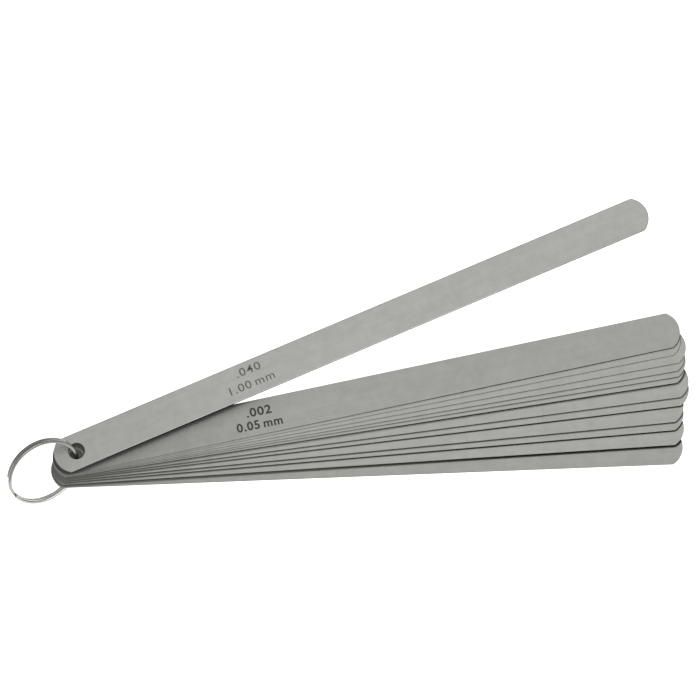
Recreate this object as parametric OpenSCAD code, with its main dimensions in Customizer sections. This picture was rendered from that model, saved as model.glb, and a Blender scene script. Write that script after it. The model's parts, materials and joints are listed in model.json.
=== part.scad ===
// Long-blade feeler gauge set: straight steel leaves fanned on a split ring.
// The origin is the centre of the ring. The leaves lie parallel to XY, tips towards +X.

/* [Leaves] */
// Width of every leaf
leaf_w = 12.7; // [10:0.1:15.2]
// Length that the leaves are cut to, over their two rounded ends
leaf_l = 228.6; // [90:0.1:300]
// How much larger the radius of the rounded ends is than half the width
end_extra = 0.95; // [0.1:0.05:4]
// Distance from the hole's centre to the leaf's near end
hole_inset = 8.2; // [6:0.1:9.8]
// Clearance of the hole round the slanted wire of the ring, on each side
hole_clear = 0.45; // [0.4:0.05:0.9]
// Clearance between one leaf and the next in the stack
leaf_gap = 0.05; // [0.03:0.01:0.1]

/* [Ring] */
// Outside diameter of the split ring
ring_d = 27.2; // [22.7:0.1:34]
// Width of the ring's wire, measured across the ring
wire_w = 1.2; // [0.9:0.01:1.44]
// Thickness of the ring's wire, measured along the ring's axis
wire_t = 1.1; // [0.8:0.01:1.32]
// Clearance between the two coils of the ring
coil_gap = 0.05; // [0.03:0.01:0.1]
// Angle that the wire needs to cross from one coil to the other
crossover = 39; // [20:1:60]

/* [Lie] */
// Slope of the ring's plane against the leaves
ring_tilt = 55; // [48:1:62]
// Direction of the ring's level diameter, seen from above
ring_heading = 34; // [20:1:50]
// Height of the top leaf's upper face above the ring's centre
stack_top = -0.2; // [-0.6:0.1:0.6]
// How far the top leaf is pushed forward on the wire
push = 0.7; // [0:0.05:0.7]
// How far the second leaf hangs down on the wire
slump = 0.75; // [0:0.05:0.75]
// How far the second leaf is pushed forward on the wire
slide = 0.2; // [0:0.05:0.2]
// How far the bottom leaf is pulled back on the wire
pull = 0.5; // [0:0.05:0.5]
// How far the top leaf leans up on the wire, and the bottom leaf down
lean = 0.3; // [0:0.05:0.3]

/* [Hidden] */
$fn = 64;
// Thickness of each leaf, from the top of the stack to the bottom
THICKNESS = [1.00, 0.05, 0.10, 0.15, 0.20, 0.25, 0.30, 0.40, 0.50, 0.60, 0.70, 0.80, 0.90];
// Direction in which each leaf points, in degrees from +X
FAN = [23.35, 12.15, 11.45, 10.65, 9.95, 9.45, 8.95, 7.65, 6.95, 5.6, 5.0, 3.8, 2.25];
// How much shorter each leaf came off the shear than leaf_l
SHORT = [-1.0, 0.8, 1.2, -0.2, 0.7, 0.7, 1.4, 0.7, 0.9, 3.3, 3.4, 3.4, 3.8];
// Extra air under each leaf, where it doesn't lie flat on the next
AIR = [0, 0.10, 0, 0, 0, 0, 0.12, 0, 0, 0, 0, 0.10, 0];
// Names in the same order: the thickness in hundredths of a millimetre
LEAVES = [
    "leaf_100", "leaf_005", "leaf_010", "leaf_015", "leaf_020", "leaf_025", "leaf_030",
    "leaf_040", "leaf_050", "leaf_060", "leaf_070", "leaf_080", "leaf_090"
];

leaf_count = len(THICKNESS);
end_r = leaf_w / 2 + end_extra;
coil_r = (ring_d - wire_w) / 2;
coil_angle = 360 - crossover;
// Local angle at which the crossover ends and the two coils start side by side
coil_start = 191;
crossover_steps = 6;
// How much slimmer the crossover is than the coils on each side, where it was bent
crossover_inset = 0.05;

// Height that the first n leaves from the top take up, with the air under each
function piled(n) = n == 0 ? 0 : THICKNESS[n - 1] + AIR[n - 1] + leaf_gap + piled(n - 1);
// Height of the underside of leaf i
function leaf_z(i) = stack_top - piled(i) - THICKNESS[i];
function leaf_mid_z(i) = leaf_z(i) + THICKNESS[i] / 2;

// Where the middle of the slanted ring stands at height z, seen from above
function wire_at(z) =
    let (up = z / sin(ring_tilt), along = sqrt(coil_r * coil_r - up * up))
    [
        along * cos(ring_heading) - up * cos(ring_tilt) * sin(ring_heading),
        along * sin(ring_heading) + up * cos(ring_tilt) * cos(ring_heading)
    ];

// Upright share of the wire's direction at height z: 1 is upright, 0 is level
function wire_rise(z) = sin(ring_tilt) * sqrt(1 - pow(z / (sin(ring_tilt) * coil_r), 2));

// The wire is flattest in the bottom leaf, so its level cut there sets the size of every hole
bottom = leaf_count - 1;
rise = wire_rise(leaf_mid_z(bottom));
wire_across = norm([wire_w, 2 * wire_t + coil_gap]);
level_cut = (wire_across + THICKNESS[bottom] * sqrt(1 - rise * rise)) / rise;
hole_d = level_cut + 2 * hole_clear;

// Loose play on the wire, forward and up: the leaves from the second down lie evenly between two
second_play = [slide, -slump];
bottom_play = [-pull, -lean];
function below(i) = (i - 1) / (bottom - 1);
function play(i) = i == 0 ? [push, lean] : second_play + (bottom_play - second_play) * below(i);
function hole_at(i) = wire_at(leaf_mid_z(i)) + play(i);

// Flat strip with rounded ends, its hole at the origin and its length along +X
module leaf_blank(length, t) {
    near = -hole_inset;
    far = length - hole_inset;
    intersection() {
        translate([near, -leaf_w / 2, 0])
            cube([length, leaf_w, t]);
        union() {
            translate([near + end_r, -leaf_w / 2, 0])
                cube([length - 2 * end_r, leaf_w, t]);
            for (x = [near + end_r, far - end_r])
                translate([x, 0, 0])
                    cylinder(r = end_r, h = t);
        }
    }
}

// One leaf of the fan, with the hole that the ring runs through
module leaf(i) {
    t = THICKNESS[i];
    at = hole_at(i);
    color([0.62, 0.62, 0.60])
        translate([at.x, at.y, leaf_z(i)])
            rotate([0, 0, FAN[i]])
                difference() {
                    leaf_blank(leaf_l - SHORT[i], t);
                    translate([0, 0, -t])
                        cylinder(d = hole_d, h = 3 * t);
                }
}

// Share of the crossing done at step k; the steps past the ends root it inside the coils
function crossed(k) = min(max(k / crossover_steps, 0), 1);

// Corners of the wire's section at step k of the crossover, from the upper coil to the lower
function crossover_section(k) =
    let (
        a = coil_start - crossover * (1 - k / crossover_steps),
        low = coil_gap / 2 - (wire_t + coil_gap) * crossed(k) + crossover_inset,
        high = low + wire_t - 2 * crossover_inset,
        inner = coil_r - wire_w / 2 + crossover_inset,
        outer = coil_r + wire_w / 2 - crossover_inset
    )
    [
        [inner * cos(a), inner * sin(a), low],
        [outer * cos(a), outer * sin(a), low],
        [outer * cos(a), outer * sin(a), high],
        [inner * cos(a), inner * sin(a), high]
    ];

// The stretch of wire that leads from one coil to the other
module crossover_wire() {
    corners = [for (k = [-1:crossover_steps + 1]) each crossover_section(k)];
    last = len(corners) - 4;
    sides = [
        for (k = [0:4:last - 4], c = [0:3])
            let (d = (c + 1) % 4)
            [k + c, k + d, k + 4 + d, k + 4 + c]
    ];
    ends = [[3, 2, 1, 0], [last, last + 1, last + 2, last + 3]];
    polyhedron(points = corners, faces = concat(sides, ends));
}

// Split ring: two flat coils one on the other, joined by the crossover
module split_ring() {
    color([0.80, 0.80, 0.82])
        rotate([ring_tilt, 0, ring_heading])
            union() {
                for (low = [coil_gap / 2, -coil_gap / 2 - wire_t])
                    rotate_extrude(angle = coil_angle, start = coil_start)
                        translate([coil_r - wire_w / 2, low])
                            square([wire_w, wire_t]);
                crossover_wire();
            }
}

split_ring();
for (i = [0:leaf_count - 1])
    leaf(i);
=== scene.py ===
"""Looks of a long-blade feeler gauge set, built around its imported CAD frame.

Thirteen ground steel leaves lie fanned on a bright split ring. Each leaf carries its thickness as
etched figures, in inches and in millimetres. The script measures every leaf on its CAD node, builds
the finished pieces with Geometry Nodes, and sets up a plain pale studio with the camera.
"""

import json
import logging
import math
from dataclasses import dataclass, replace
from enum import Enum
from typing import ClassVar

import bmesh
import bpy
import numpy as np
from mathutils import Matrix, Vector


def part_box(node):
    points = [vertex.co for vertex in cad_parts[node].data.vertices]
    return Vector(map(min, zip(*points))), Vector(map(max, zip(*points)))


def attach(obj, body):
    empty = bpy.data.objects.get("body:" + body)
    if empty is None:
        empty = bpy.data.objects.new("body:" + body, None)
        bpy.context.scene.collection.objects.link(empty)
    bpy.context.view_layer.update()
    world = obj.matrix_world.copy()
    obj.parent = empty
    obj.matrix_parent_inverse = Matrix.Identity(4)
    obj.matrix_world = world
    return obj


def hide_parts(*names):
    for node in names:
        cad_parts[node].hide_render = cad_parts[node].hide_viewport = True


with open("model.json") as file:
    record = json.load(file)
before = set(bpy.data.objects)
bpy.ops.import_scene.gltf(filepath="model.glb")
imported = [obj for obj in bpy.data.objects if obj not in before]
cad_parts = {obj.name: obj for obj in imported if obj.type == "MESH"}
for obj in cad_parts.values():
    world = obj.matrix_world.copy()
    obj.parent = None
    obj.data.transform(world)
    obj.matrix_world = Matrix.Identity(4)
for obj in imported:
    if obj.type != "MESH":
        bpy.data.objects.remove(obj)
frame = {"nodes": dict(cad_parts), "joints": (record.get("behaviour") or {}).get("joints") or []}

MM = 0.001
# Points nearer than this are one point
SAME = 0.001 * MM
# How round the edges are: well rolled on the thick top leaf, only broken on the others
TOP_EDGE = 0.30 * MM
LEAF_EDGE = 0.05 * MM
# The floor lies this far under the lowest piece
FLOOR_GAP = 0.1 * MM
# Named attributes that the pieces carry for their finishes
LEAF_MAP = "leaf_mm"
EDGE_MAP = "edge_upright"
WIRE_MAP = "wire_mm"
# The node that does one step of a sum
MATH = "ShaderNodeMath"

logging.basicConfig(level=logging.INFO, format="%(levelname)s %(message)s")
log = logging.getLogger("feeler_gauge")


# ---------------------------------------------------------------- helpers


def linear(colour: str) -> tuple[float, float, float, float]:
    """Turns an sRGB colour into linear light.

    Args:
        colour: The colour as "#RRGGBB".

    Returns:
        Red, green, blue and an alpha of 1, each from 0 to 1.
    """
    parts = [int(colour[i : i + 2], 16) / 255 for i in (1, 3, 5)]
    light = [c / 12.92 if c <= 0.04045 else ((c + 0.055) / 1.055) ** 2.4 for c in parts]
    return (light[0], light[1], light[2], 1.0)


def add_node(
    tree: bpy.types.NodeTree, kind: str, inputs: dict | tuple = (), **settings: object
) -> bpy.types.Node:
    """Adds one node to a tree with its settings and links.

    Args:
        tree: The shader or geometry tree.
        kind: The node's type name.
        inputs: For each input, by name or in order, a constant, a socket to link from, or a node whose
            first output is meant.
        settings: Properties of the node, set before its inputs.

    Returns:
        The new node.
    """
    node = tree.nodes.new(kind)
    for name, value in settings.items():
        setattr(node, name, value)
    for key, value in inputs.items() if isinstance(inputs, dict) else enumerate(inputs):
        if isinstance(value, bpy.types.Node):
            value = value.outputs[0]
        if isinstance(value, bpy.types.NodeSocket):
            tree.links.new(value, node.inputs[key])
        else:
            node.inputs[key].default_value = value
    return node


def new_material(name: str) -> tuple[bpy.types.Material, bpy.types.NodeTree]:
    """Makes an empty node material.

    Args:
        name: The material's name.

    Returns:
        The material and its empty node tree.
    """
    material = bpy.data.materials.new(name)
    material.use_nodes = True
    material.node_tree.nodes.clear()
    return material, material.node_tree


def new_geometry_tree(name: str, inputs: dict[str, str]) -> tuple[bpy.types.NodeTree, bpy.types.Node]:
    """Makes a geometry tree with named inputs and a Mesh output.

    Args:
        name: The tree's name.
        inputs: For each named input, the socket type it has.

    Returns:
        The tree and its group input node.
    """
    tree = bpy.data.node_groups.new(name, "GeometryNodeTree")
    for label, kind in inputs.items():
        tree.interface.new_socket(label, in_out="INPUT", socket_type=kind)
    tree.interface.new_socket("Mesh", in_out="OUTPUT", socket_type="NodeSocketGeometry")
    return tree, add_node(tree, "NodeGroupInput")


def finish_tree(tree: bpy.types.NodeTree, mesh: bpy.types.Node, finish: bpy.types.NodeSocket) -> None:
    """Ends a geometry tree: realises its instances, gives them their material and puts them out.

    Args:
        tree: The geometry tree.
        mesh: The node whose first output is the finished shape.
        finish: The group input socket that holds the material.
    """
    real = add_node(tree, "GeometryNodeRealizeInstances", {0: mesh})
    painted = add_node(tree, "GeometryNodeSetMaterial", {"Geometry": real, "Material": finish})
    add_node(tree, "NodeGroupOutput", {"Mesh": painted})


def grow(
    name: str, tree: bpy.types.NodeTree, values: dict[str, object], soften: float = 0.0
) -> bpy.types.Object:
    """Runs a geometry tree and keeps its result as a plain mesh object.

    Args:
        name: The new object's name.
        tree: The geometry tree.
        values: A value for each of the tree's named inputs.
        soften: Width of the bevel on what sharp edges are left, in metres. 0 leaves them.

    Returns:
        The object, at the origin, with no modifier left.
    """
    shell = bpy.data.objects.new(name, bpy.data.meshes.new(name))
    bpy.context.scene.collection.objects.link(shell)
    modifier = shell.modifiers.new("Shape", "NODES")
    modifier.node_group = tree
    for item in tree.interface.items_tree:
        if item.in_out == "INPUT":
            modifier[item.identifier] = values[item.name]
    if soften:
        bevel = shell.modifiers.new("Soft edges", "BEVEL")
        bevel.width = soften
        bevel.segments = 3
        bevel.limit_method = "ANGLE"
        bevel.angle_limit = math.radians(60)
    graph = bpy.context.evaluated_depsgraph_get()
    mesh = bpy.data.meshes.new_from_object(shell.evaluated_get(graph))
    shell.modifiers.clear()
    shell.data = mesh
    mesh.name = name
    return shell


# ---------------------------------------------------------------- finishes


@dataclass(frozen=True)
class GroundSteel:
    """Spring steel strip, ground along its length: a satin grey with long fine grinding lines.

    The real lines are a few hundredths of a millimetre apart, too fine to be seen as lines from the
    distance of a whole view, so they're drawn coarser here. To the eye the faces are an even grey with
    a soft grain along the leaf. The slit edges are dull, and painted shade makes them dark. A fine dark
    line of painted shade, the shadow of the leaf above, lies in the step under it. Lengths are in
    millimetres. The line's share of light goes from shade_near by the ring to shade_far at the tip. It
    is full where less than shade_full of the sky is open to the steel within shade_reach, and gone
    where more than shade_none is.
    """

    name: str
    tint: str
    roughness: float = 0.36
    line_width: float = 0.22
    line_length: float = 16.0
    # Level of the steel by the ring: partly handling wear, partly painted shade
    worn_shaded_end: float = 0.80
    edge_from: float = 0.5
    # Colour of the slit edges: painted shade, as their side walls lie in shadow
    edge_shade_tint: str = "#40403D"
    # Painted shade in the step under the leaf above: how far it reaches, where it is full and gone, and its
    # share of light by the ring and at the tip
    shade_reach: float = 0.7
    shade_full: float = 0.84
    shade_none: float = 0.95
    shade_near: float = 0.42
    shade_far: float = 0.06

    def build(self) -> bpy.types.Material:
        """Builds the material on the leaf's own millimetre map.

        Returns:
            The material.
        """
        material, tree = new_material(self.name)
        place = add_node(tree, "ShaderNodeAttribute", attribute_name=LEAF_MAP).outputs["Vector"]
        # Grinding lines along the leaf, and the slower drift of tone from pass to pass
        lines_at = add_node(
            tree,
            "ShaderNodeMapping",
            {"Vector": place, "Scale": (1 / self.line_length, 1 / self.line_width, 1.0)},
        )
        lines = add_node(
            tree,
            "ShaderNodeTexNoise",
            {"Vector": lines_at, "Scale": 1.0, "Detail": 5.0, "Roughness": 0.62},
        )
        passes_at = add_node(tree, "ShaderNodeMapping", {"Vector": place, "Scale": (1 / 60, 1 / 2.4, 1.0)})
        passes = add_node(
            tree, "ShaderNodeTexNoise", {"Vector": passes_at, "Scale": 1.0, "Detail": 2.0, "Roughness": 0.5}
        )
        # Thin film of oil and handling: soft clouds a few millimetres across
        clouds = add_node(
            tree,
            "ShaderNodeTexNoise",
            {"Vector": place, "Scale": 0.2, "Detail": 6.0, "Roughness": 0.65, "Distortion": 0.5},
        )
        tone = add_node(
            tree,
            "ShaderNodeMix",
            {0: 0.35, 2: lines.outputs["Fac"], 3: passes.outputs["Fac"]},
            data_type="FLOAT",
        )
        tone = add_node(
            tree, "ShaderNodeMix", {0: 0.45, 2: tone, 3: clouds.outputs["Fac"]}, data_type="FLOAT"
        )
        lift = add_node(
            tree,
            "ShaderNodeMapRange",
            {"Value": tone, "From Min": 0.3, "From Max": 0.7, "To Min": 0.84, "To Max": 1.16},
        )
        # Darker towards the ring: partly handling dulls the steel, partly painted shade of the stack there
        along = add_node(tree, "ShaderNodeSeparateXYZ", {0: place}).outputs["X"]
        worn_shaded = add_node(
            tree,
            "ShaderNodeMapRange",
            {"Value": along, "From Min": -8.0, "From Max": 90.0, "To Min": self.worn_shaded_end, "To Max": 1.0},
            interpolation_type="SMOOTHSTEP",
        )
        level = add_node(tree, MATH, (lift, worn_shaded), operation="MULTIPLY")
        # Painted shade: ambient occlusion darkens the steel in the step under the next leaf's edge into a
        # dark line, the shadow of that leaf
        shelter = add_node(
            tree, "ShaderNodeAmbientOcclusion", {"Distance": self.shade_reach * MM}, samples=8
        )
        # The leaves lie tight by the ring and part towards their tips, so the painted shade line darkens on
        # the way
        shade_tone = add_node(
            tree,
            "ShaderNodeMapRange",
            {
                "Value": along,
                "From Min": 15.0,
                "From Max": 150.0,
                "To Min": self.shade_near,
                "To Max": self.shade_far,
            },
        )
        open_share = add_node(
            tree,
            "ShaderNodeMapRange",
            {
                "Value": shelter.outputs["AO"],
                "From Min": self.shade_full,
                "From Max": self.shade_none,
                "To Min": shade_tone,
                "To Max": 1.0,
            },
            interpolation_type="SMOOTHSTEP",
        )
        level = add_node(tree, MATH, (level, open_share), operation="MULTIPLY")
        face = add_node(
            tree, "ShaderNodeVectorMath", {0: linear(self.tint)[:3], "Scale": level}, operation="SCALE"
        )
        # The slit edges are shear-cut, dull and rough, and their dark colour is painted shade of the side
        # walls
        upright = add_node(tree, "ShaderNodeAttribute", attribute_name=EDGE_MAP).outputs["Fac"]
        sheared_and_shaded = add_node(
            tree,
            "ShaderNodeMapRange",
            {"Value": upright, "From Min": self.edge_from, "From Max": self.edge_from + 0.22},
            interpolation_type="SMOOTHSTEP",
        )
        # The round end is rubbed smooth by the ring and the hand, and its edges get less of the painted
        # shade
        kept = add_node(
            tree,
            "ShaderNodeMapRange",
            {"Value": along, "From Min": -4.0, "From Max": 14.0, "To Min": 0.45, "To Max": 1.0},
        )
        sheared_and_shaded = add_node(tree, MATH, (sheared_and_shaded, kept), operation="MULTIPLY")
        colour = add_node(
            tree,
            "ShaderNodeMix",
            {"Factor": sheared_and_shaded, 6: face, 7: linear(self.edge_shade_tint)},
            data_type="RGBA",
        ).outputs[2]
        bright = add_node(tree, MATH, (1.0, sheared_and_shaded), operation="SUBTRACT")
        rough = add_node(
            tree,
            "ShaderNodeMapRange",
            {
                "Value": clouds.outputs["Fac"],
                "From Min": 0.3,
                "From Max": 0.7,
                "To Min": self.roughness - 0.03,
                "To Max": self.roughness + 0.05,
            },
        )
        rough = add_node(tree, "ShaderNodeMix", {0: sheared_and_shaded, 2: rough, 3: 0.7}, data_type="FLOAT")
        bump = add_node(
            tree,
            "ShaderNodeBump",
            {"Strength": 0.35, "Distance": 0.004 * MM, "Height": lines.outputs["Fac"]},
        )
        steel = add_node(
            tree,
            "ShaderNodeBsdfPrincipled",
            {"Base Color": colour, "Metallic": bright, "Roughness": rough, "Normal": bump},
        )
        add_node(tree, "ShaderNodeOutputMaterial", {"Surface": steel})
        return material


@dataclass(frozen=True)
class BrightNickel:
    """Nickel-plated spring wire: to the eye a soft bright mirror, with painted light on one side.

    One turn of the wire is turn millimetres long. Painted light makes it brightest at the angle
    lit_side_at, in degrees round the ring, and painted shade leaves it only shaded_side_share of the
    light opposite that.
    """

    turn: float
    name: str = "bright nickel plate on spring wire"
    tint: str = "#E8E8E4"
    roughness: float = 0.18
    # Where the painted light is brightest, and the share of light the painted shade leaves opposite
    lit_side_at: float = 265.0
    shaded_side_share: float = 0.46

    def build(self) -> bpy.types.Material:
        """Builds the material on the wire's own map: length along the wire, then turn round it.

        Returns:
            The material.
        """
        material, tree = new_material(self.name)
        place = add_node(tree, "ShaderNodeAttribute", attribute_name=WIRE_MAP).outputs["Vector"]
        # Draw lines run along the wire, as it came out of the rolls
        drawn_at = add_node(tree, "ShaderNodeMapping", {"Vector": place, "Scale": (0.12, 9.0, 9.0)})
        drawn = add_node(
            tree, "ShaderNodeTexNoise", {"Vector": drawn_at, "Scale": 1.0, "Detail": 4.0, "Roughness": 0.6}
        )
        # Dull patches where the plate is rubbed
        rubbed = add_node(
            tree, "ShaderNodeTexNoise", {"Vector": place, "Scale": 0.5, "Detail": 4.0, "Roughness": 0.6}
        )
        tone = add_node(
            tree,
            "ShaderNodeMapRange",
            {
                "Value": rubbed.outputs["Fac"],
                "From Min": 0.3,
                "From Max": 0.7,
                "To Min": 0.90,
                "To Max": 1.04,
            },
        )
        # Painted shade: ambient occlusion darkens the gap between the two coils
        shelter = add_node(tree, "ShaderNodeAmbientOcclusion", {"Distance": 0.5 * MM}, samples=8)
        groove_shade = add_node(
            tree,
            "ShaderNodeMapRange",
            {"Value": shelter.outputs["AO"], "From Min": 0.4, "From Max": 0.85, "To Min": 0.1},
            interpolation_type="SMOOTHSTEP",
        )
        tone = add_node(tree, MATH, (tone, groove_shade), operation="MULTIPLY")
        # Painted light and shade: one side of the ring is painted brighter, the other side darker
        travelled = add_node(tree, "ShaderNodeSeparateXYZ", {0: place}).outputs["X"]
        turned = add_node(
            tree,
            MATH,
            (travelled, math.tau / self.turn, -math.radians(self.lit_side_at)),
            operation="MULTIPLY_ADD",
        )
        side = add_node(tree, MATH, (turned,), operation="COSINE")
        painted_side_light = add_node(
            tree,
            "ShaderNodeMapRange",
            {"Value": side, "From Min": -1.0, "To Min": self.shaded_side_share},
        )
        tone = add_node(tree, MATH, (tone, painted_side_light), operation="MULTIPLY")
        colour = add_node(
            tree, "ShaderNodeVectorMath", {0: linear(self.tint)[:3], "Scale": tone}, operation="SCALE"
        )
        rough = add_node(
            tree,
            "ShaderNodeMapRange",
            {
                "Value": rubbed.outputs["Fac"],
                "From Min": 0.35,
                "From Max": 0.7,
                "To Min": self.roughness,
                "To Max": self.roughness + 0.1,
            },
        )
        bump = add_node(
            tree, "ShaderNodeBump", {"Strength": 0.3, "Distance": 0.01 * MM, "Height": drawn.outputs["Fac"]}
        )
        plate = add_node(
            tree,
            "ShaderNodeBsdfPrincipled",
            {"Base Color": colour, "Metallic": 1.0, "Roughness": rough, "Normal": bump},
        )
        add_node(tree, "ShaderNodeOutputMaterial", {"Surface": plate})
        return material


@dataclass(frozen=True)
class EtchedMark:
    """Acid-etched figures: to the eye a matt grey oxide, patchy where the steel shows through."""

    name: str
    tint: str

    def build(self) -> bpy.types.Material:
        """Builds the material on object coordinates.

        Returns:
            The material.
        """
        material, tree = new_material(self.name)
        place = add_node(tree, "ShaderNodeTexCoord").outputs["Object"]
        # Patches of about a third of a millimetre, in metres of object space
        patches = add_node(
            tree, "ShaderNodeTexNoise", {"Vector": place, "Scale": 3000.0, "Detail": 3.0, "Roughness": 0.6}
        )
        tone = add_node(
            tree,
            "ShaderNodeMapRange",
            {
                "Value": patches.outputs["Fac"],
                "From Min": 0.3,
                "From Max": 0.7,
                "To Min": 0.8,
                "To Max": 1.25,
            },
        )
        colour = add_node(
            tree, "ShaderNodeVectorMath", {0: linear(self.tint)[:3], "Scale": tone}, operation="SCALE"
        )
        bump = add_node(
            tree,
            "ShaderNodeBump",
            {"Strength": 0.5, "Distance": 0.004 * MM, "Height": patches.outputs["Fac"]},
        )
        oxide = add_node(
            tree,
            "ShaderNodeBsdfPrincipled",
            {"Base Color": colour, "Metallic": 0.0, "Roughness": 0.75, "Normal": bump},
        )
        add_node(tree, "ShaderNodeOutputMaterial", {"Surface": oxide})
        return material


@dataclass(frozen=True)
class PaperSweep:
    """Seamless studio paper: matt and white to the edge of the view, with hardly any shadow."""

    name: str = "white seamless paper"
    tint: str = "#F4F4F2"
    glow: float = 1.0

    def build(self) -> bpy.types.Material:
        """Builds the material.

        Returns:
            The material.
        """
        material, tree = new_material(self.name)
        place = add_node(tree, "ShaderNodeTexCoord").outputs["Object"]
        fibre = add_node(tree, "ShaderNodeTexNoise", {"Vector": place, "Scale": 900.0, "Detail": 3.0})
        bump = add_node(
            tree, "ShaderNodeBump", {"Strength": 0.1, "Distance": 0.02 * MM, "Height": fibre.outputs["Fac"]}
        )
        paper = add_node(
            tree,
            "ShaderNodeBsdfPrincipled",
            {
                "Base Color": linear(self.tint),
                "Roughness": 0.9,
                "Normal": bump,
                "Emission Color": (1.0, 1.0, 1.0, 1.0),
                "Emission Strength": self.glow,
            },
        )
        add_node(tree, "ShaderNodeOutputMaterial", {"Surface": paper})
        return material


# ---------------------------------------------------------------- leaves


@dataclass(frozen=True)
class Blank:
    """Sizes of one leaf in metres and its direction in radians, measured on its CAD node."""

    hole_x: float
    hole_y: float
    direction: float
    width: float
    length: float
    end_radius: float
    inset: float
    hole_radius: float
    underside: float
    thickness: float
    # A point this near to the long side belongs to a corner
    CORNER_REACH: ClassVar[float] = 0.05 * MM

    @classmethod
    def measured(cls, node: str, hole: Vector) -> "Blank":
        """Measures a leaf.

        Args:
            node: The CAD node's name.
            hole: Where the leaf's hinge stands, the centre of its hole.

        Returns:
            The leaf's sizes.
        """
        low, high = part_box(node)
        points = np.array([v.co for v in frame["nodes"][node].data.vertices], float)
        flat = points[:, :2] - np.array(hole[:2])
        reach = np.hypot(flat[:, 0], flat[:, 1])
        tip = flat[reach > 0.8 * reach.max()].mean(0)
        # The leaf points in the direction, near its tip's, across which it is narrowest
        guesses = math.atan2(tip[1], tip[0]) + np.radians(np.linspace(-0.5, 0.5, 2001))
        angle = min(guesses, key=lambda guess: np.ptp(flat @ (-math.sin(guess), math.cos(guess))))
        along = flat @ (math.cos(angle), math.sin(angle))
        across = flat @ (-math.sin(angle), math.cos(angle))
        half = np.ptp(across) / 2
        bow = along.max() - along[np.abs(across) > half - cls.CORNER_REACH].max()
        return cls(
            hole_x=hole.x,
            hole_y=hole.y,
            direction=angle,
            width=2 * half,
            length=np.ptp(along),
            end_radius=(half * half + bow * bow) / (2 * bow),
            inset=-along.min(),
            hole_radius=reach.min(),
            underside=low.z,
            thickness=high.z - low.z,
        )

    def placed(self, along: float, across: float, height: float) -> Matrix:
        """Gives the place of something lying on the leaf.

        Args:
            along: Distance from the hole towards the tip, in metres.
            across: Distance from the middle line, in metres.
            height: Height above the upper face, in metres.

        Returns:
            The matrix that carries it there, turned along the leaf.
        """
        leaf = Matrix.Translation((self.hole_x, self.hole_y, self.underside + self.thickness + height))
        return leaf @ Matrix.Rotation(self.direction, 4, "Z") @ Matrix.Translation((along, across, 0))


class MarkDepth(Enum):
    """How deep the figures are etched, which sets how dark they read."""

    SHALLOW = "#6E6F6B"
    DEEP = "#434441"


@dataclass(frozen=True)
class FigureStyle:
    """Size and place of a leaf's figures, in millimetres from the hole and from the middle line.

    A line is given as where it starts, where it ends and how high its foot stands.
    """

    depth: MarkDepth
    height: float
    weight: float
    inch_line: tuple[float, float, float]
    metric_line: tuple[float, float, float]
    spacing: float = 1.12
    word_space: float = 0.45


@dataclass
class SizeFigures:
    """The thickness of one leaf, etched in its upper face in inches and in millimetres."""

    name: str
    hundredths: int
    blank: Blank
    style: FigureStyle
    finish: bpy.types.Material
    # The letters' capital height as a share of the font's size
    CAPITALS: ClassVar[float] = 0.729
    # The oxide is a skin: it starts just inside the steel and stands just proud of it
    SKIN: ClassVar[float] = 0.004 * MM
    LIFT: ClassVar[float] = 0.002 * MM
    # Hundredths of a millimetre to thousandths of an inch, as such sets round them
    THOUSANDTHS: ClassVar[float] = 0.4

    def _line(self, text: str, span: tuple[float, float, float]) -> bpy.types.Mesh:
        """Makes one line of figures, in place on its leaf.

        Args:
            text: What the line says.
            span: Where it starts and ends along the leaf, and its foot across it, in millimetres.

        Returns:
            The line as a closed mesh.
        """
        letters = bpy.data.curves.new(self.name, "FONT")
        letters.body = text
        letters.size = self.style.height * MM / self.CAPITALS
        letters.offset = self.style.weight * MM
        letters.space_character = self.style.spacing
        letters.space_word = self.style.word_space
        letters.extrude = self.SKIN
        letters.resolution_u = 6
        holder = bpy.data.objects.new(self.name, letters)
        bpy.context.scene.collection.objects.link(holder)
        graph = bpy.context.evaluated_depsgraph_get()
        mesh = bpy.data.meshes.new_from_object(holder.evaluated_get(graph))
        bpy.data.objects.remove(holder)
        start, end, foot = (value * MM for value in span)
        places = [vertex.co.x for vertex in mesh.vertices]
        stretch = (end - start) / (max(places) - min(places))
        fitted = Matrix.Diagonal((stretch, 1, 1, 1)) @ Matrix.Translation((-min(places), 0, 0))
        mesh.transform(self.blank.placed(start, foot, self.LIFT) @ fitted)
        return mesh

    def build(self) -> bpy.types.Object:
        """Builds both lines as one piece.

        Returns:
            The figures, in place.
        """
        both = bmesh.new()
        inches = f".{round(self.hundredths * self.THOUSANDTHS):03d}"
        millimetres = f"{self.hundredths / 100:.2f} mm"
        for text, span in ((inches, self.style.inch_line), (millimetres, self.style.metric_line)):
            line = self._line(text, span)
            both.from_mesh(line)
            bpy.data.meshes.remove(line)
        bmesh.ops.remove_doubles(both, verts=both.verts, dist=0.0002 * MM)
        mesh = bpy.data.meshes.new(self.name)
        both.to_mesh(mesh)
        both.free()
        mesh.materials.append(self.finish)
        piece = bpy.data.objects.new(self.name, mesh)
        bpy.context.scene.collection.objects.link(piece)
        log.info("%s: %s and %s", self.name, inches, millimetres)
        return piece


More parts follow.
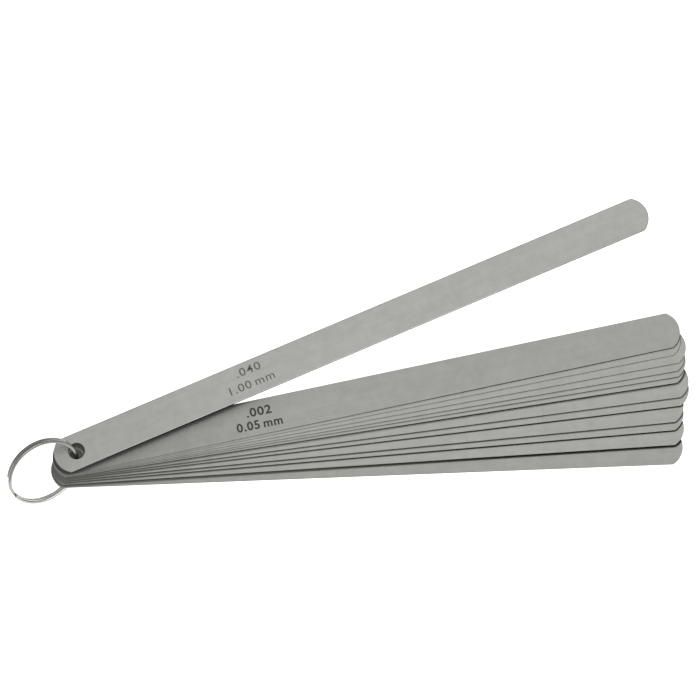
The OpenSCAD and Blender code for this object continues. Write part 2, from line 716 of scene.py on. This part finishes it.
@dataclass
class GaugeLeaf:
    """One leaf: a flat strip with rounded ends, soft edges, a hole for the ring and its figures.

    The CAD node's name is also its body's. edge_radius is what tumbling left on the edges, in metres.
    """

    node: str
    hole: Vector
    edge_radius: float
    steel: bpy.types.Material
    style: FigureStyle
    oxide: bpy.types.Material
    arc_points: int = 40
    hole_points: int = 96
    edge_steps: int = 4
    hole_edge: float = 0.05 * MM
    # A leaf too thin for the given radius has less, this share of its thickness
    edge_share: float = 0.42

    @staticmethod
    def _wall(
        tree: bpy.types.NodeTree,
        size: bpy.types.NodeOutputs,
        columns: bpy.types.Node,
        edge: bpy.types.NodeSocket,
    ) -> tuple[bpy.types.Node, bpy.types.NodeSocket, bpy.types.Node, bpy.types.Node]:
        """Makes one upright wall with rounded edges, as columns round it and rows up it.

        Args:
            tree: The geometry tree.
            size: The tree's sizes.
            columns: How many columns the wall has.
            edge: The radius of its two edges.

        Returns:
            The flat grid, each point's share of the way round, how far the rounding sets it back from
            the wall, and its height.
        """
        steps = size["Edge Steps"]
        rows = add_node(tree, MATH, (steps, 2.0, 2.0), operation="MULTIPLY_ADD")
        grid = add_node(tree, "GeometryNodeMeshGrid", {"Vertices X": columns, "Vertices Y": rows})
        uv = add_node(tree, "ShaderNodeSeparateXYZ", (grid.outputs["UV Map"],))
        last_row = add_node(tree, MATH, (rows, 1.0), operation="SUBTRACT")
        row = add_node(tree, MATH, (uv.outputs["Y"], last_row), operation="MULTIPLY")
        row = add_node(tree, MATH, (row,), operation="ROUND")
        # The lower edge's rows turn from below to level, the upper edge's from level to above
        half_way = add_node(tree, MATH, (steps, 0.5), operation="ADD")
        upper = add_node(tree, MATH, (row, half_way), operation="GREATER_THAN")
        step = add_node(tree, MATH, (row, steps), operation="SUBTRACT")
        step = add_node(tree, MATH, (step, upper), operation="SUBTRACT")
        turn = add_node(tree, MATH, (step, steps), operation="DIVIDE")
        turn = add_node(tree, MATH, (turn, math.pi / 2), operation="MULTIPLY")
        level = add_node(tree, MATH, (turn,), operation="COSINE")
        steep = add_node(tree, MATH, (turn,), operation="SINE")
        back = add_node(tree, MATH, (1.0, level), operation="SUBTRACT")
        back = add_node(tree, MATH, (edge, back), operation="MULTIPLY")
        rise = add_node(tree, MATH, (edge, steep, edge), operation="MULTIPLY_ADD")
        straight = add_node(tree, MATH, (edge, -2.0, size["Thickness"]), operation="MULTIPLY_ADD")
        height = add_node(tree, MATH, (upper, straight, rise), operation="MULTIPLY_ADD")
        marked = add_node(
            tree,
            "GeometryNodeStoreNamedAttribute",
            {"Geometry": grid, "Name": EDGE_MAP, "Value": level},
            data_type="FLOAT",
            domain="POINT",
        )
        return marked, uv.outputs["X"], back, height

    @classmethod
    def _outer_wall(cls, tree: bpy.types.NodeTree, size: bpy.types.NodeOutputs) -> bpy.types.Node:
        """Makes the outer wall: one end's arc, then the other's, the first one turned half round.

        Args:
            tree: The geometry tree.
            size: The tree's sizes.

        Returns:
            The wall.
        """
        points = size["Arc Points"]
        columns = add_node(tree, MATH, (points, 2.0, 1.0), operation="MULTIPLY_ADD")
        grid, share, back, height = cls._wall(tree, size, columns, size["Edge Radius"])
        last_column = add_node(tree, MATH, (columns, 1.0), operation="SUBTRACT")
        column = add_node(tree, MATH, (share, last_column), operation="MULTIPLY")
        column = add_node(tree, MATH, (column,), operation="ROUND")
        end = add_node(tree, MATH, (column, points), operation="DIVIDE")
        end = add_node(tree, MATH, (end,), operation="FLOOR")
        end = add_node(tree, MATH, (end, 2.0), operation="MODULO")
        sign = add_node(tree, MATH, (end, -2.0, 1.0), operation="MULTIPLY_ADD")
        last_point = add_node(tree, MATH, (points, 1.0), operation="SUBTRACT")
        arc_share = add_node(tree, MATH, (column, points), operation="MODULO")
        arc_share = add_node(tree, MATH, (arc_share, last_point), operation="DIVIDE")
        radius = add_node(tree, MATH, (size["End Radius"], back), operation="SUBTRACT")
        half_width = add_node(tree, MATH, (size["Width"], 0.5), operation="MULTIPLY")
        half_width = add_node(tree, MATH, (half_width, back), operation="SUBTRACT")
        widest = add_node(tree, MATH, (half_width, radius), operation="DIVIDE")
        widest = add_node(tree, MATH, (widest,), operation="ARCSINE")
        angle = add_node(tree, MATH, (arc_share, 2.0, -1.0), operation="MULTIPLY_ADD")
        angle = add_node(tree, MATH, (widest, angle), operation="MULTIPLY")
        forward = add_node(tree, MATH, (angle,), operation="COSINE")
        sideways = add_node(tree, MATH, (angle,), operation="SINE")
        half_length = add_node(tree, MATH, (size["Length"], 0.5), operation="MULTIPLY")
        arc_centre = add_node(tree, MATH, (half_length, size["End Radius"]), operation="SUBTRACT")
        out = add_node(tree, MATH, (radius, forward, arc_centre), operation="MULTIPLY_ADD")
        middle = add_node(tree, MATH, (half_length, size["Inset"]), operation="SUBTRACT")
        along = add_node(tree, MATH, (sign, out, middle), operation="MULTIPLY_ADD")
        across = add_node(tree, MATH, (radius, sideways), operation="MULTIPLY")
        across = add_node(tree, MATH, (sign, across), operation="MULTIPLY")
        at = add_node(tree, "ShaderNodeCombineXYZ", (along, across, height))
        return add_node(tree, "GeometryNodeSetPosition", {"Geometry": grid, "Position": at})

    @classmethod
    def _hole_wall(cls, tree: bpy.types.NodeTree, size: bpy.types.NodeOutputs) -> bpy.types.Node:
        """Makes the hole's wall, which runs the other way round, so that it faces the hole.

        Args:
            tree: The geometry tree.
            size: The tree's sizes.

        Returns:
            The wall.
        """
        columns = add_node(tree, MATH, (size["Hole Points"], 1.0), operation="ADD")
        grid, share, back, height = cls._wall(tree, size, columns, size["Hole Edge"])
        angle = add_node(tree, MATH, (share, -math.tau), operation="MULTIPLY")
        radius = add_node(tree, MATH, (size["Hole Radius"], back), operation="ADD")
        forward = add_node(tree, MATH, (angle,), operation="COSINE")
        sideways = add_node(tree, MATH, (angle,), operation="SINE")
        along = add_node(tree, MATH, (radius, forward), operation="MULTIPLY")
        across = add_node(tree, MATH, (radius, sideways), operation="MULTIPLY")
        at = add_node(tree, "ShaderNodeCombineXYZ", (along, across, height))
        return add_node(tree, "GeometryNodeSetPosition", {"Geometry": grid, "Position": at})

    @classmethod
    def tree(cls) -> bpy.types.NodeTree:
        """Builds the geometry tree that all leaves share.

        Returns:
            The tree.
        """
        sizes = ("Width", "Length", "End Radius", "Inset", "Hole Radius", "Thickness")
        sizes += ("Edge Radius", "Hole Edge", "Direction")
        inputs = {name: "NodeSocketFloat" for name in sizes}
        inputs |= {name: "NodeSocketInt" for name in ("Arc Points", "Hole Points", "Edge Steps")}
        inputs |= {"Place": "NodeSocketVector", "Finish": "NodeSocketMaterial"}
        tree, given = new_geometry_tree("Leaf blank", inputs)
        size = given.outputs
        outer_wall = cls._outer_wall(tree, size)
        hole_wall = cls._hole_wall(tree, size)

        walls = add_node(tree, "GeometryNodeJoinGeometry", (outer_wall,))
        tree.links.new(hole_wall.outputs[0], walls.inputs[0])
        closed = add_node(tree, "GeometryNodeMergeByDistance", {"Geometry": walls, "Distance": SAME})
        smooth = add_node(
            tree, "GeometryNodeSetShadeSmooth", {0: closed, "Shade Smooth": True}, domain="FACE"
        )
        bend = add_node(tree, "GeometryNodeInputMeshEdgeAngle").outputs["Unsigned Angle"]
        crease = add_node(tree, MATH, (bend, math.radians(26)), operation="GREATER_THAN")
        creased = add_node(
            tree,
            "GeometryNodeSetShadeSmooth",
            {0: smooth, "Selection": crease, "Shade Smooth": False},
            domain="EDGE",
        )

        # Both faces are filled from the two open rims at the top
        faces_at_edge = add_node(tree, "GeometryNodeInputMeshEdgeNeighbors")
        at = add_node(tree, "ShaderNodeSeparateXYZ", (add_node(tree, "GeometryNodeInputPosition"),))
        half_up = add_node(tree, MATH, (size["Thickness"], 0.5), operation="MULTIPLY")
        above = add_node(tree, MATH, (at.outputs["Z"], half_up), operation="GREATER_THAN")
        open_rim = add_node(tree, MATH, (faces_at_edge, 1.5), operation="LESS_THAN")
        open_rim = add_node(tree, MATH, (open_rim, above), operation="MULTIPLY")
        loops = add_node(tree, "GeometryNodeMeshToCurve", {"Mesh": closed, "Selection": open_rim})
        face = add_node(tree, "GeometryNodeFillCurve", {"Curve": loops})
        flat = add_node(
            tree, "GeometryNodeSetShadeSmooth", {0: face, "Shade Smooth": False}, domain="FACE"
        )
        lift = add_node(tree, "ShaderNodeCombineXYZ", {"Z": size["Thickness"]})
        top = add_node(tree, "GeometryNodeTransform", {"Geometry": flat, "Translation": lift})
        bottom = add_node(tree, "GeometryNodeFlipFaces", (flat,))
        whole = add_node(tree, "GeometryNodeJoinGeometry", (creased,))
        tree.links.new(top.outputs[0], whole.inputs[0])
        tree.links.new(bottom.outputs[0], whole.inputs[0])
        sealed = add_node(tree, "GeometryNodeMergeByDistance", {"Geometry": whole, "Distance": SAME})

        # The finish reads the leaf's own millimetres, which stay with it when it swings
        here = add_node(tree, "GeometryNodeInputPosition")
        own_mm = add_node(tree, "ShaderNodeVectorMath", {0: here, "Scale": 1 / MM}, operation="SCALE")
        mapped = add_node(
            tree,
            "GeometryNodeStoreNamedAttribute",
            {"Geometry": sealed, "Name": LEAF_MAP, "Value": own_mm},
            data_type="FLOAT_VECTOR",
            domain="POINT",
        )
        turn = add_node(tree, "ShaderNodeCombineXYZ", {"Z": size["Direction"]})
        placed = add_node(
            tree,
            "GeometryNodeTransform",
            {"Geometry": mapped, "Translation": size["Place"], "Rotation": turn},
        )
        finish_tree(tree, placed, size["Finish"])
        return tree

    def build(self, tree: bpy.types.NodeTree) -> list[bpy.types.Object]:
        """Builds the leaf and its figures.

        Args:
            tree: The geometry tree that all leaves share.

        Returns:
            The strip and the figures.
        """
        blank = Blank.measured(self.node, self.hole)
        hundredths = int(self.node.split("_")[1])
        strip = grow(
            f"strip_{hundredths:03d}",
            tree,
            {
                "Width": blank.width,
                "Length": blank.length,
                "End Radius": blank.end_radius,
                "Inset": blank.inset,
                "Hole Radius": blank.hole_radius,
                "Thickness": blank.thickness,
                "Edge Radius": min(self.edge_radius, self.edge_share * blank.thickness),
                "Hole Edge": min(self.hole_edge, self.edge_share * blank.thickness),
                "Arc Points": self.arc_points,
                "Hole Points": self.hole_points,
                "Edge Steps": self.edge_steps,
                "Direction": blank.direction,
                "Place": (blank.hole_x, blank.hole_y, blank.underside),
                "Finish": self.steel,
            },
        )
        name = f"figures_{hundredths:03d}"
        figures = SizeFigures(name, hundredths, blank, self.style, self.oxide).build()
        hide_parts(self.node)
        for piece in (strip, figures):
            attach(piece, self.node)
        log.info(
            "%s: %.2f mm thick, %.2f by %.2f mm, end radius %.2f mm, turned %.2f degrees",
            strip.name,
            blank.thickness / MM,
            blank.length / MM,
            blank.width / MM,
            blank.end_radius / MM,
            math.degrees(blank.direction),
        )
        return [strip, figures]


# ---------------------------------------------------------------- ring


@dataclass
class SplitRing:
    """The ring that holds the leaves: two turns of flat-sided wire, rounded at its corners.

    The wire and its path have the sizes of its CAD node, in millimetres and degrees. The rounding
    is added here.
    """

    nickel: bpy.types.Material
    coil_radius: float = 13.0
    wire_width: float = 1.2
    wire_thickness: float = 1.1
    corner: float = 0.32
    coil_rise: float = 0.575
    start: float = 191.0
    crossing: float = 512.0
    crossing_end: float = 551.0
    end: float = 872.0
    tilt: float = 55.0
    heading: float = 34.0
    end_bevel: float = 0.12
    path_points: int = 520
    corner_points: int = 6

    @staticmethod
    def tree() -> bpy.types.NodeTree:
        """Builds the geometry tree of a two-turn ring.

        Returns:
            The tree.
        """
        sizes = ("Coil Radius", "Wire Width", "Wire Thickness", "Corner", "Coil Rise")
        sizes += ("Start", "Crossing", "Crossing End", "End")
        inputs = {name: "NodeSocketFloat" for name in sizes}
        inputs |= {"Path Points": "NodeSocketInt", "Corner Points": "NodeSocketInt"}
        inputs |= {"Turn": "NodeSocketVector", "Finish": "NodeSocketMaterial"}
        tree, given = new_geometry_tree("Split ring", inputs)
        size = given.outputs

        # The path: a circle run through twice, stepping down from one coil to the other
        line = add_node(tree, "GeometryNodeMeshLine", {"Count": size["Path Points"]})
        path = add_node(tree, "GeometryNodeMeshToCurve", {"Mesh": line})
        index = add_node(tree, "GeometryNodeInputIndex")
        last = add_node(tree, MATH, (size["Path Points"], 1.0), operation="SUBTRACT")
        share = add_node(tree, MATH, (index, last), operation="DIVIDE")
        sweep = add_node(tree, MATH, (size["End"], size["Start"]), operation="SUBTRACT")
        angle = add_node(tree, MATH, (share, sweep, size["Start"]), operation="MULTIPLY_ADD")
        lower = add_node(tree, MATH, (size["Coil Rise"], -1.0), operation="MULTIPLY")
        crossed = add_node(
            tree,
            "ShaderNodeMapRange",
            {
                "Value": angle,
                "From Min": size["Crossing"],
                "From Max": size["Crossing End"],
                "To Min": size["Coil Rise"],
                "To Max": lower,
            },
            interpolation_type="SMOOTHSTEP",
        )
        forward = add_node(tree, MATH, (angle,), operation="COSINE")
        sideways = add_node(tree, MATH, (angle,), operation="SINE")
        along = add_node(tree, MATH, (size["Coil Radius"], forward), operation="MULTIPLY")
        across = add_node(tree, MATH, (size["Coil Radius"], sideways), operation="MULTIPLY")
        path_at = add_node(tree, "ShaderNodeCombineXYZ", (along, across, crossed))
        coiled = add_node(tree, "GeometryNodeSetPosition", {"Geometry": path, "Position": path_at})
        upright = add_node(tree, "GeometryNodeSetCurveNormal", {"Curve": coiled}, mode="Z_UP")
        travelled = add_node(tree, MATH, (angle, size["Coil Radius"]), operation="MULTIPLY")
        travelled = add_node(tree, MATH, (travelled, MM), operation="DIVIDE")
        measured = add_node(
            tree,
            "GeometryNodeStoreNamedAttribute",
            {"Geometry": upright, "Name": "travelled", "Value": travelled},
            data_type="FLOAT",
            domain="POINT",
        )

        # The section: a rectangle with rounded corners
        box = add_node(
            tree,
            "GeometryNodeCurvePrimitiveQuadrilateral",
            {"Width": size["Wire Width"], "Height": size["Wire Thickness"]},
        )
        section = add_node(
            tree,
            "GeometryNodeFilletCurve",
            {"Curve": box, "Count": size["Corner Points"], "Radius": size["Corner"]},
            mode="POLY",
        )
        round_mm = add_node(
            tree,
            "ShaderNodeVectorMath",
            {0: add_node(tree, "GeometryNodeInputPosition"), "Scale": 1 / MM},
            operation="SCALE",
        )
        section = add_node(
            tree,
            "GeometryNodeStoreNamedAttribute",
            {"Geometry": section, "Name": "section_mm", "Value": round_mm},
            data_type="FLOAT_VECTOR",
            domain="POINT",
        )
        wire = add_node(
            tree,
            "GeometryNodeCurveToMesh",
            {"Curve": measured, "Profile Curve": section, "Fill Caps": True},
        )
        length_mm = add_node(
            tree, "GeometryNodeInputNamedAttribute", {"Name": "travelled"}, data_type="FLOAT"
        )
        across_mm = add_node(
            tree, "GeometryNodeInputNamedAttribute", {"Name": "section_mm"}, data_type="FLOAT_VECTOR"
        )
        section_parts = add_node(tree, "ShaderNodeSeparateXYZ", {0: across_mm})
        wire_map = add_node(
            tree,
            "ShaderNodeCombineXYZ",
            {"X": length_mm, "Y": section_parts.outputs["X"], "Z": section_parts.outputs["Y"]},
        )
        mapped = add_node(
            tree,
            "GeometryNodeStoreNamedAttribute",
            {"Geometry": wire, "Name": WIRE_MAP, "Value": wire_map},
            data_type="FLOAT_VECTOR",
            domain="POINT",
        )
        smooth = add_node(
            tree, "GeometryNodeSetShadeSmooth", {0: mapped, "Shade Smooth": True}, domain="FACE"
        )
        turned = add_node(tree, "GeometryNodeTransform", {"Geometry": smooth, "Rotation": size["Turn"]})
        finish_tree(tree, turned, size["Finish"])
        return tree

    def build(self) -> bpy.types.Object:
        """Builds the ring.

        Returns:
            The ring, in place.
        """
        wire = grow(
            "split_ring_wire",
            self.tree(),
            {
                "Coil Radius": self.coil_radius * MM,
                "Wire Width": self.wire_width * MM,
                "Wire Thickness": self.wire_thickness * MM,
                "Corner": self.corner * MM,
                "Coil Rise": self.coil_rise * MM,
                "Start": math.radians(self.start),
                "Crossing": math.radians(self.crossing),
                "Crossing End": math.radians(self.crossing_end),
                "End": math.radians(self.end),
                "Path Points": self.path_points,
                "Corner Points": self.corner_points,
                "Turn": (math.radians(self.tilt), 0.0, math.radians(self.heading)),
                "Finish": self.nickel,
            },
            soften=self.end_bevel * MM,
        )
        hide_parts("split_ring")
        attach(wire, "ring")
        log.info("%s: %d faces", wire.name, len(wire.data.polygons))
        return wire


# ---------------------------------------------------------------- studio


@dataclass(frozen=True)
class View:
    """Where the camera stands, in front and above: degrees and metres."""

    target: tuple[float, float, float] = (0.1086, 0.0437, 0.0)
    elevation: float = 78.0
    distance: float = 1.6
    shown_width: float = 0.2491


@dataclass
class Studio:
    """White paper floor, soft light from all round, one wide softbox in front, and the camera.

    Lengths are in metres and the softbox's power in watts.
    """

    view: View
    paper: bpy.types.Material
    floor_height: float
    floor_side: float = 6.0
    softbox_at: tuple[float, float, float] = (0.52, -0.64, 0.72)
    softbox_side: float = 0.6
    softbox_power: float = 2.5
    sensor_mm: float = 36.0
    # The tent's light by height, from straight down at 0 to straight up at 1: bright paper below, a
    # dark band at the horizon, and paler towards the top
    TENT: ClassVar[tuple[tuple[float, float], ...]] = (
        (0.0, 1.0),
        (0.40, 1.0),
        (0.45, 0.90),
        (0.49, 0.12),
        (0.53, 0.12),
        (0.60, 0.26),
        (0.72, 0.44),
        (0.90, 0.66),
        (1.0, 0.70),
    )
    TENT_BLUE: ClassVar[float] = 0.985

    def _floor(self) -> None:
        """Lays the paper under the object."""
        centre = (self.view.target[0], 0.0, self.floor_height)
        bpy.ops.mesh.primitive_plane_add(size=self.floor_side, location=centre)
        floor = bpy.context.object
        floor.name = "paper_floor"
        floor.data.materials.append(self.paper)
        # The steel mirrors the room and not the lit paper, as it does under a tent
        floor.visible_glossy = False

    def _world(self) -> None:
        """Lights the scene from all round."""
        world = bpy.data.worlds.new("Studio tent")
        world.use_nodes = True
        tree = world.node_tree
        tree.nodes.clear()
        toward = add_node(tree, "ShaderNodeTexCoord").outputs["Generated"]
        part = add_node(tree, "ShaderNodeSeparateXYZ", (toward,))
        height = add_node(tree, "ShaderNodeMapRange", {"Value": part.outputs["Z"], "From Min": -1.0})
        ramp = add_node(tree, "ShaderNodeValToRGB", {"Fac": height})
        stops = ramp.color_ramp.elements
        while len(stops) < len(self.TENT):
            stops.new(0.5)
        for stop, (place, level) in zip(stops, self.TENT):
            stop.position = place
            stop.color = (level, level, level * self.TENT_BLUE, 1.0)
        sky = add_node(tree, "ShaderNodeBackground", {"Color": ramp, "Strength": 1.0})
        add_node(tree, "ShaderNodeOutputWorld", {"Surface": sky})
        bpy.context.scene.world = world

    def _softbox(self) -> None:
        """Hangs the soft light that draws a bright line along the top leaf's lower edge."""
        light = bpy.data.lights.new("Front softbox", "AREA")
        light.shape = "SQUARE"
        light.size = self.softbox_side
        light.energy = self.softbox_power
        lamp = bpy.data.objects.new("Front softbox", light)
        lamp.location = self.softbox_at
        aim = Vector(self.view.target) - Vector(self.softbox_at)
        lamp.rotation_euler = aim.to_track_quat("-Z", "Y").to_euler()
        bpy.context.scene.collection.objects.link(lamp)

    def _camera(self) -> None:
        """Sets the long lens so that the given width is shown."""
        view = self.view
        data = bpy.data.cameras.new("Long lens")
        data.sensor_width = self.sensor_mm
        data.lens = self.sensor_mm * view.distance / view.shown_width
        camera = bpy.data.objects.new("Long lens", data)
        up = math.radians(view.elevation)
        away = Vector((0.0, -math.cos(up), math.sin(up)))
        camera.location = Vector(view.target) + view.distance * away
        camera.rotation_euler = (-away).to_track_quat("-Z", "Y").to_euler()
        bpy.context.scene.collection.objects.link(camera)
        bpy.context.scene.camera = camera

    def build(self) -> None:
        """Builds the floor, the light and the camera."""
        self._floor()
        self._world()
        self._softbox()
        self._camera()
        bpy.context.scene.view_settings.view_transform = "Standard"
        log.info("studio: floor at %.2f mm", self.floor_height / MM)


# ---------------------------------------------------------------- main


def steel_finishes() -> dict[str, GroundSteel]:
    """Chooses each leaf's steel: its painted shade in the step under the leaf above, darker where that one
    lifts.

    Returns:
        The finish of each leaf that differs from the plain one under its body's name, and the plain
        one under "plain".
    """
    plain = GroundSteel("ground spring steel", "#C6C7C2")
    # Deeper and wider painted shade under a leaf that lifts
    lifted = {"shade_reach": 1.1, "shade_far": 0.04, "shade_none": 0.975}
    # Fainter painted shade where the leaf above lies tight or snug
    tight = replace(plain, name="ground spring steel, tight", shade_near=0.85, shade_far=0.3)
    snug = replace(plain, name="ground spring steel, snug", shade_near=0.4, shade_far=0.22)
    return {
        "plain": plain,
        # The top leaf has no painted shade on its face and the darkest painted shade on its edges
        "leaf_100": replace(
            plain,
            name="ground spring steel, top leaf",
            tint="#CCCDC9",
            worn_shaded_end=0.88,
            edge_shade_tint="#242422",
            shade_near=1.0,
            shade_far=1.0,
        ),
        # The top leaf's painted shadow on the thinnest leaf is wide and soft
        "leaf_005": replace(
            plain,
            name="ground spring steel, thinnest leaf",
            tint="#BFC0BB",
            shade_reach=6.0,
            shade_near=0.2,
            shade_full=0.88,
            shade_none=0.988,
        ),
        "leaf_010": replace(
            plain,
            name="ground spring steel, under the thinnest leaf",
            shade_reach=1.0,
            shade_near=0.85,
            shade_full=0.92,
            shade_none=0.99,
        ),
        "leaf_015": tight,
        "leaf_020": tight,
        "leaf_025": tight,
        "leaf_030": tight,
        "leaf_040": replace(plain, name="ground spring steel, under a lifted leaf", **lifted),
        "leaf_050": snug,
        "leaf_070": snug,
        "leaf_090": replace(plain, name="ground spring steel, bottom leaf", tint="#BEBFBA", **lifted),
    }


def main() -> None:
    """Builds the leaves from the top of the fan down, the ring, and the studio round them."""
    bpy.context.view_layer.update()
    choices = steel_finishes()
    steels = {finish: finish.build() for finish in dict.fromkeys(choices.values())}
    marks = {
        depth: EtchedMark(f"etched figure, {depth.name.lower()}", depth.value).build()
        for depth in MarkDepth
    }
    nickel = BrightNickel(turn=math.tau * SplitRing.coil_radius).build()
    top_style = FigureStyle(
        MarkDepth.SHALLOW,
        height=3.0,
        weight=0.02,
        inch_line=(62.7, 71.9, 1.67),
        metric_line=(58.2, 75.2, -3.4),
    )
    second_style = FigureStyle(
        MarkDepth.DEEP,
        height=3.17,
        weight=0.09,
        inch_line=(62.2, 71.2, 0.63),
        metric_line=(57.8, 74.3, -4.05),
    )
    other_style = FigureStyle(
        MarkDepth.DEEP,
        height=3.0,
        weight=0.06,
        inch_line=(62.7, 72.0, 2.8),
        metric_line=(58.2, 75.4, -1.7),
    )

    leaf_tree = GaugeLeaf.tree()
    hinges = {joint["child"]: Vector(joint["pos_m"]) for joint in frame["joints"]}
    from_top = sorted(hinges, key=lambda name: -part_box(name)[1].z)
    styles = dict(zip(from_top, (top_style, second_style)))
    for name in from_top:
        style = styles.get(name, other_style)
        edge = TOP_EDGE if name == from_top[0] else LEAF_EDGE
        steel = steels[choices.get(name, choices["plain"])]
        GaugeLeaf(name, hinges[name], edge, steel, style, marks[style.depth]).build(leaf_tree)
    SplitRing(nickel).build()

    lowest = min(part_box(name)[0].z for name in frame["nodes"])
    Studio(View(), PaperSweep().build(), lowest - FLOOR_GAP).build()


if __name__ == "__main__":
    main()
